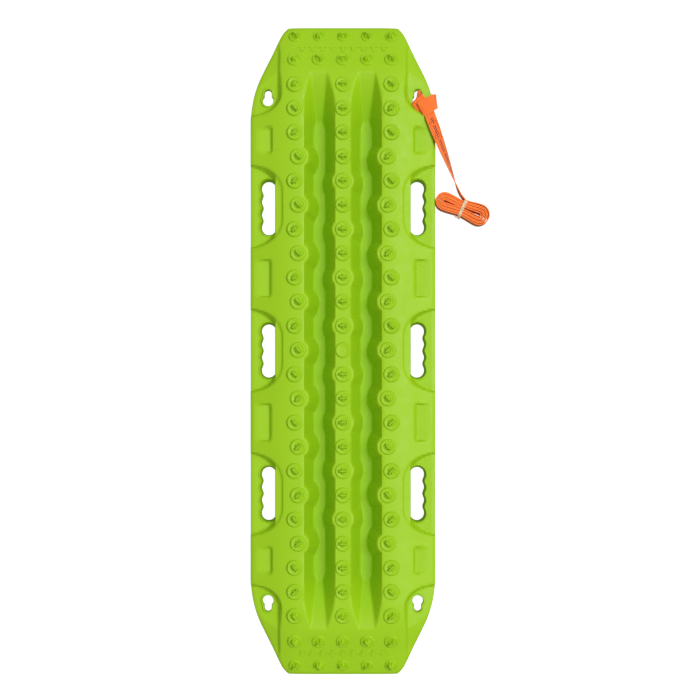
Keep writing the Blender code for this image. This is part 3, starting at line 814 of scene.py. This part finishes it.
def webbing_look():
    """Orange polyester tape: ribs across, warp lines along, plain edges with a painted highlight, and a
    dashed dark tracer on the free run.
    """
    n = Nodes("orange_webbing")
    uv = n.add("ShaderNodeUVMap", uv_map="tape").outputs["UV"]
    split = n.add("ShaderNodeSeparateXYZ")
    n.link(uv, split.inputs[0])
    along, across = split.outputs[0], split.outputs[1]
    warp = n.math('SINE', n.math('MULTIPLY', across, 2 * math.pi / 0.0011))
    weft = n.math('SINE', n.math('MULTIPLY', along, 2 * math.pi / 0.0016))
    # The tape's edge faces: the weave is left off them, and their lighter colour is painted light on the
    # edges.
    selvedge_and_painted_light = n.math('GREATER_THAN', n.math('ABSOLUTE', across), 0.0116)
    weave = n.math('MULTIPLY', n.math('MULTIPLY', warp, weft), n.math('SUBTRACT', 1.0, selvedge_and_painted_light))
    where = n.add("ShaderNodeTexCoord").outputs["Object"]
    fuzz = n.noise(where, 700.0, 3.0, 0.7)
    slow = n.noise(where, 40.0, 2.0)
    base = n.ramp(slow, 0.3, 0.7, (0.97, 0.185, 0.030), (1.0, 0.225, 0.042))
    threads = n.mix_colour(n.fit(weave, -1, 1, 0.0, 0.16), base, (0.76, 0.10, 0.016))
    # Painted highlight: the edge faces get a lighter orange.
    threads = n.mix_colour(selvedge_and_painted_light, threads, (1.0, 0.235, 0.045))
    centre = n.math('LESS_THAN', n.math('ABSOLUTE', across), 0.0036)
    slant = n.math('ADD', along, n.math('MULTIPLY', across, 0.45))
    dash = n.math('LESS_THAN', n.math('FRACT', n.math('MULTIPLY', slant, 1 / 0.0042)), 0.48)
    words = n.math('LESS_THAN', n.math('FRACT', n.math('MULTIPLY', along, 1 / 0.026)), 0.86)
    inside = n.math('MULTIPLY', n.math('GREATER_THAN', along, 0.012), n.math('LESS_THAN', along, 0.140))
    mark = n.math('MULTIPLY', n.math('MULTIPLY', centre, dash), n.math('MULTIPLY', inside, words))
    n.link(n.mix_colour(n.math('MULTIPLY', mark, 0.92), threads, (0.09, 0.018, 0.035)),
           n.shader.inputs["Base Color"])
    n.link(n.fit(fuzz, 0.3, 0.7, 0.62, 0.85), n.shader.inputs["Roughness"])
    n.link(n.bump(fuzz, 0.2, 0.0002, n.bump(weave, 0.5, 0.0003)), n.shader.inputs["Normal"])
    n.shader.inputs["Sheen Weight"].default_value = 0.25
    n.shader.inputs["Sheen Roughness"].default_value = 0.4
    n.shader.inputs["Specular IOR Level"].default_value = 0.25
    return n.material


def thread_look():
    n = Nodes("orange_thread")
    where = n.add("ShaderNodeTexCoord").outputs["Object"]
    fibre = n.noise(where, 1500.0, 2.0, 0.6)
    n.link(n.ramp(fibre, 0.3, 0.7, (0.45, 0.035, 0.008), (0.66, 0.075, 0.012)), n.shader.inputs["Base Color"])
    n.link(n.fit(fibre, 0.3, 0.7, 0.5, 0.75), n.shader.inputs["Roughness"])
    n.link(n.bump(fibre, 0.4, 0.0002), n.shader.inputs["Normal"])
    return n.material


def rubber_look():
    """Natural rubber band: matt, slightly dusty, with stretch lines."""
    n = Nodes("natural_rubber")
    where = n.add("ShaderNodeTexCoord").outputs["Object"]
    slow = n.noise(where, 120.0, 3.0)
    n.link(n.ramp(slow, 0.3, 0.7, (0.62, 0.44, 0.27), (0.84, 0.66, 0.46)), n.shader.inputs["Base Color"])
    n.link(n.fit(n.noise(where, 500.0), 0.3, 0.7, 0.45, 0.7), n.shader.inputs["Roughness"])
    n.link(n.bump(n.noise(where, 900.0), 0.3, 0.0002), n.shader.inputs["Normal"])
    return n.material


# ---------------------------------------------------------------- leash

def smooth_path(points, count):
    """Points on a smooth curve through the route's own points."""
    ends = [points[0] * 2 - points[1]] + points + [points[-1] * 2 - points[-2]]
    made = []
    for n in range(count):
        reached = n / (count - 1) * (len(points) - 1)
        i = min(int(reached), len(points) - 2)
        t = reached - i
        a, b, c, d = ends[i:i + 4]
        made.append(0.5 * ((2 * b) + (c - a) * t + (2 * a - 5 * b + 4 * c - d) * t * t
                           + (3 * b - a - 3 * c + d) * t ** 3))
    return made


# The tape's section: places across it as shares of its half width, and how thick it is there.
SHARES = (-1.0, -0.97, -0.6, -0.2, 0.2, 0.6, 0.97, 1.0)
EDGE_SLIM = 0.6


def tape(name, middle, across, widths, look, thick=TAPE_THICK, travelled=0.0):
    """A flat woven tape along a path, with rounded edges and a UV map measured in metres."""
    mesh = bmesh.new()
    layer = mesh.loops.layers.uv.new("tape")
    rows, uvs = [], []
    count = len(middle)
    for i, point in enumerate(middle):
        if i:
            travelled += (point - middle[i - 1]).length
        before = middle[max(i - 1, 0)]
        after = middle[min(i + 1, count - 1)]
        along = (after - before).normalized()
        side = (across[i] - along * across[i].dot(along)).normalized()
        normal = side.cross(along).normalized()
        ring, flat = [], []
        for sign in (1, -1):
            for share in (SHARES if sign > 0 else SHARES[::-1]):
                slim = EDGE_SLIM if abs(share) == 1.0 else 1.0
                lift = normal * (sign * thick / 2 * slim)
                ring.append(mesh.verts.new(point + side * share * widths[i] / 2 + lift))
                flat.append((travelled * MM, share * TAPE_WIDTH / 2 * MM))
        rows.append(ring)
        uvs.append(flat)
    around = len(rows[0])
    for i in range(count - 1):
        for j in range(around):
            k = (j + 1) % around
            face = mesh.faces.new((rows[i][j], rows[i][k], rows[i + 1][k], rows[i + 1][j]))
            corners = ((i, j), (i, k), (i + 1, k), (i + 1, j))
            for loop, (a, b) in zip(face.loops, corners):
                loop[layer].uv = uvs[a][b]
    mesh.faces.new(list(reversed(rows[0])))
    mesh.faces.new(rows[-1])
    bmesh.ops.recalc_face_normals(mesh, faces=mesh.faces)
    piece = place(name, mesh, look)
    smooth(piece, 50)
    return piece


# The run's route, how far the tape is turned onto its edge in degrees, and its width there.
RUN_ROUTE = (
    (151.0, 419.0, 35.4), (154.5, 409.0, 38.0), (160.0, 395.0, 37.0), (168.0, 375.0, 32.8),
    (180.0, 346.0, 25.5), (192.5, 315.0, 18.0), (203.0, 288.0, 14.3), (208.5, 276.3, 14.0),
)
RUN_BANK = (2.0, 14.0, 20.0, 35.0, 55.0, 74.0, 88.0, 90.0)
RUN_WIDTH = (19.0, 19.5, 20.0, 21.0, 22.5, 24.0, 25.0, 25.0)
RUN_COUNT = 40

LOBE_LEFT = Vector((179.5, 264.5))
LOBE_RIGHT = Vector((240.5, 240.0))
HANK_MID = 14.0
TURNS = 6.0
TURN_STEPS = 64

# Half widths of the hank: at the first pass, that pass's turn, the step in per turn, and the pairing.
HANK_LEFT = (15.3, 0.75, 2.5, 0.27)
HANK_RIGHT = (17.8, 0.25, 2.8, 0.22)
HANK_WAIST = (14.4, 0.0, 2.32, 0.19)


def half_hank(part, turn):
    """The tape's distance from the hank's middle line; swap changes sign each turn, which pairs the turns."""
    outer, first, pitch, pairing = part
    swap = max(-1.0, min(1.0, 2.5 * math.cos(math.pi * (turn - 0.3))))
    return outer - pitch * (turn - first) + swap * pairing


def hank_point(turn):
    """Place on the wound tape's path; turn 0 is at the waist's upper side, then clockwise inwards."""
    axis = (LOBE_RIGHT - LOBE_LEFT).normalized()
    side = Vector((-axis.y, axis.x))
    phase = turn % 1.0
    left = half_hank(HANK_LEFT, turn)
    right = half_hank(HANK_RIGHT, turn)
    waist = half_hank(HANK_WAIST, turn)
    if phase < 0.25:
        part = phase / 0.25
        lift = mix(waist, right, ease(0, 1, np.array(part)).item())
        return LOBE_LEFT.lerp(LOBE_RIGHT, mix(0.5, 1.0, part)) + side * lift
    if phase < 0.5:
        bend = math.pi * (phase - 0.25) / 0.25
        return LOBE_RIGHT + right * (side * math.cos(bend) + axis * math.sin(bend))
    if phase < 0.75:
        part = (phase - 0.5) / 0.25
        near = abs(part * 2 - 1)
        ends = mix(right, left, part)
        lift = mix(waist, ends, ease(0, 1, np.array(near)).item())
        return LOBE_RIGHT.lerp(LOBE_LEFT, part) - side * lift
    bend = math.pi * (phase - 0.75) / 0.125
    if phase < 0.875:
        return LOBE_LEFT + left * (-side * math.cos(bend) - axis * math.sin(bend))
    part = (phase - 0.875) / 0.125
    lift = mix(left, waist, ease(0, 1, np.array(part)).item())
    return LOBE_LEFT.lerp(LOBE_RIGHT, part * 0.5) + side * lift


def make_leash(look):
    """One strip of tape: out of the hitch, over the rim, down onto its edge, and into the hank."""
    middle = smooth_path([Vector(point) for point in RUN_ROUTE], RUN_COUNT)
    banks = smooth_path([Vector((bank, wide, 0)) for bank, wide in zip(RUN_BANK, RUN_WIDTH)], RUN_COUNT)
    across, widths = [], []
    up = Vector((0, 0, 1))
    for i in range(RUN_COUNT):
        along = (middle[min(i + 1, RUN_COUNT - 1)] - middle[max(i - 1, 0)]).normalized()
        level = along.cross(up).normalized()
        bank = math.radians(banks[i].x)
        across.append(level * -math.cos(bank) - up * math.sin(bank))
        widths.append(banks[i].y)
    for i in range(1, int(TURNS * TURN_STEPS) + 1):
        turn = i / TURN_STEPS
        spot = hank_point(turn)
        wobble = 0.6 * math.cos(math.pi / 2 * turn) + 0.2 * math.sin(9.1 * turn)
        middle.append(Vector((spot.x, spot.y, HANK_MID + wobble)))
        across.append(-up)
        widths.append(TAPE_WIDTH)
    leash = tape("leash_tape", middle, across, widths, look)
    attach(leash, "leash")
    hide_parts("leash_run", "leash_hank")


HITCH_COUNT = 90
HITCH_THICK = 1.6
HITCH_ROUTE = (
    # place, width direction, width
    ((158.0, 434.5, 36.0), (0.5, -0.866, 0.0), 24.0),
    ((149.0, 429.5, 35.8), (0.5, -0.866, 0.0), 24.0),
    ((141.0, 425.6, 36.0), (0.5, -0.866, 0.0), 25.0),
    ((136.0, 423.6, 37.6), (0.5, -0.866, 0.0), 25.5),
    ((140.0, 425.4, 39.4), (0.5, -0.866, 0.0), 26.0),
    ((148.0, 429.0, 39.8), (0.46, -0.888, 0.0), 26.0),
    ((155.5, 433.6, 39.2), (0.33, -0.944, 0.0), 26.0),
    ((161.6, 437.2, 36.6), (0.2, -0.98, 0.0), 26.0),
    ((164.6, 438.8, 30.0), (0.15, -0.98, 0.0), 25.0),
    ((164.4, 440.0, 21.0), (0.05, -1.0, 0.0), 24.0),
    ((161.0, 442.0, 13.5), (-0.1, -0.99, 0.0), 24.0),
    ((153.0, 444.5, 11.5), (-0.25, -0.97, 0.0), 24.0),
    ((144.5, 445.6, 14.0), (-0.36, -0.93, 0.0), 24.0),
    ((137.0, 446.4, 21.0), (-0.385, -0.92, 0.0), 25.0),
    ((132.6, 445.8, 28.0), (-0.385, -0.92, 0.0), 26.0),
    ((129.7, 443.6, 32.0), (-0.42, -0.91, 0.0), 26.0),
    ((132.8, 439.8, 33.2), (-0.50, -0.866, 0.0), 26.0),
    ((137.6, 433.0, 33.2), (-0.60, -0.80, 0.0), 26.0),
    ((143.4, 425.4, 33.0), (-0.68, -0.73, 0.0), 24.0),
    ((149.0, 418.9, 32.8), (-0.75, -0.66, 0.0), 20.0),
)


def make_hitch(look):
    """The sewn eye round the run, the wrap round the rim bar, and the strap's way up through the keyhole."""
    middle = smooth_path([Vector(point) for point, _, _ in HITCH_ROUTE], HITCH_COUNT)
    across = smooth_path([Vector(way) for _, way, _ in HITCH_ROUTE], HITCH_COUNT)
    widths = [v.x for v in smooth_path([Vector((wide, 0, 0)) for _, _, wide in HITCH_ROUTE], HITCH_COUNT)]
    hitch = tape("leash_eye", middle, across, widths, look, thick=HITCH_THICK, travelled=1000.0)
    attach(hitch, "board")
    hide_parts("leash_hitch")


BAND_ALONG = 1.5
BAND_REACH, BAND_HIGH = 16.3, 13.9
BAND_SHIFTS = (-2.0, 0.0, 2.0)
BAND_LOW = 0.85
BAND_SQUARE = 0.35
KNOT = ((-1.2, -0.6, 3.0), (0.8, -1.4, 1.0), (1.0, -2.2, -1.5), (-1.4, -1.8, -1.6), (-2.2, -1.4, 0.6),
        (-3.6, -2.4, 1.8), (-6.2, -2.0, 1.2), (-8.0, -1.2, 0.4))
KNOT_COUNT = 26
KNOT_AWAY = 15.8
STRAND_SIDES = [2 * math.pi * j / 8 for j in range(8)]


def band_strand(n, shift, centre, axis, side):
    """One strand round the hank's waist: a rounded rectangle that leans a little."""
    rings = []
    steps = 40
    for i in range(steps):
        turn = 2 * math.pi * i / steps
        c, s = math.cos(turn), math.sin(turn)
        out = math.copysign(abs(c) ** BAND_SQUARE, c) * BAND_REACH
        lift = math.copysign(abs(s) ** BAND_SQUARE, s) * BAND_HIGH
        lean = 0.05 * out + shift * (1 + 0.015 * out) + 0.4 * math.sin(turn * 2 + n)
        spot = centre + axis * lean + side * out
        here = Vector((spot.x, spot.y, max(HANK_MID + lift, BAND_LOW)))
        radial = (Vector((side.x, side.y, 0)) * c + Vector((0, 0, 1)) * s).normalized()
        flat = Vector((axis.x, axis.y, 0))
        rings.append([here + flat * 1.05 * math.cos(t) + radial * 0.75 * math.sin(t) for t in STRAND_SIDES])
    return solid(rings, True)


def band_knot(centre, axis, side):
    """The band's knotted end and tail, just outside the waist's lower edge."""
    path = smooth_path([Vector(point) for point in KNOT], KNOT_COUNT)
    rings = []
    for i, (along, out, lift) in enumerate(path):
        ahead = (path[min(i + 1, KNOT_COUNT - 1)] - path[max(i - 1, 0)]).normalized()
        one = ahead.cross(Vector((0.3, 0.2, 1.0))).normalized()
        two = ahead.cross(one)
        spot = centre + axis * along + side * (out * 1.5 - KNOT_AWAY)
        here = Vector((spot.x, spot.y, HANK_MID + 9.0 + lift))
        ring = []
        for t in STRAND_SIDES:
            v = one * math.cos(t) * 1.35 + two * math.sin(t) * 1.1
            ring.append(here + Vector((axis.x * v.x + side.x * v.y, axis.y * v.x + side.y * v.y, v.z)))
        rings.append(ring)
    return solid(rings)


def make_band(look):
    """Three strands of one rubber band round the hank's waist, with its knot at the lower end."""
    axis = (LOBE_RIGHT - LOBE_LEFT).normalized()
    side = Vector((-axis.y, axis.x))
    centre = (LOBE_LEFT + LOBE_RIGHT) / 2 + axis * BAND_ALONG
    strands = [band_strand(n, shift, centre, axis, side) for n, shift in enumerate(BAND_SHIFTS)]
    strands.append(band_knot(centre, axis, side))
    band = place("hank_band_strands", join(strands), look)
    smooth(band, 60)
    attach(band, "leash")
    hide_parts("hank_band")


# The sewn box's corners as (share of the run, place across the tape), then the stitches' sizes.
BOX_CORNERS = [(0.22, -7.0), (0.44, -7.0), (0.44, 7.0), (0.22, 7.0)]
STITCH_PITCH = 3.0
STITCH_START, STITCH_END = 0.12, 0.88
STITCH_RINGS = 5
STITCH_SIDES = 6


def make_stitching(look):
    """Two rows and a cross of lockstitches that close the eye, lying on the tape."""
    middle = smooth_path([Vector(point) for point in RUN_ROUTE], RUN_COUNT)
    banks = smooth_path([Vector((bank, 0, 0)) for bank in RUN_BANK], RUN_COUNT)
    up = Vector((0, 0, 1))

    def surface(share, across):
        """A place on the run's upper face, and the way out of it there."""
        reached = share * (RUN_COUNT - 1)
        i = min(int(reached), RUN_COUNT - 2)
        t = reached - i
        spot = middle[i].lerp(middle[i + 1], t)
        along = (middle[i + 1] - middle[i]).normalized()
        bank = math.radians(banks[i].x + (banks[i + 1].x - banks[i].x) * t)
        side = along.cross(up).normalized() * -math.cos(bank) - up * math.sin(bank)
        normal = side.cross(along).normalized()
        if normal.z < 0:
            normal = -normal
        return spot + side * across + normal * (TAPE_THICK / 2 + 0.25), normal

    def stitch(start, end, low, high):
        """One stitch, thick in its middle, that dips into the tape at both ends."""
        rings = []
        for step in range(STITCH_RINGS):
            done = step / (STITCH_RINGS - 1)
            t = mix(low, high, done)
            spot, normal = surface(mix(start[0], end[0], t), mix(start[1], end[1], t))
            after, _ = surface(mix(start[0], end[0], t + 0.01), mix(start[1], end[1], t + 0.01))
            side = (after - spot).normalized().cross(normal).normalized()
            bulge = math.sin(math.pi * done)
            radius = 0.12 + 0.30 * bulge
            heart = spot + normal * (0.30 * bulge - 0.12)
            turns = [2 * math.pi * j / STITCH_SIDES for j in range(STITCH_SIDES)]
            rings.append([heart + side * radius * math.cos(t) + normal * radius * math.sin(t) for t in turns])
        return solid(rings)

    lines = list(zip(BOX_CORNERS, BOX_CORNERS[1:] + BOX_CORNERS[:1]))
    lines += [(BOX_CORNERS[0], BOX_CORNERS[2]), (BOX_CORNERS[1], BOX_CORNERS[3])]
    stitches = []
    for start, end in lines:
        count = max(3, round((surface(*end)[0] - surface(*start)[0]).length / STITCH_PITCH))
        for n in range(count):
            stitches.append(stitch(start, end, (n + STITCH_START) / count, (n + STITCH_END) / count))
    piece = place("eye_stitches", join(stitches), look)
    smooth(piece, 60)
    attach(piece, "leash")
    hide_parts("eye_stitching")


make_camera()
make_studio()
webbing = webbing_look()
make_leash(webbing)
make_hitch(webbing)
make_stitching(thread_look())
make_band(rubber_look())
make_board(nylon_look())
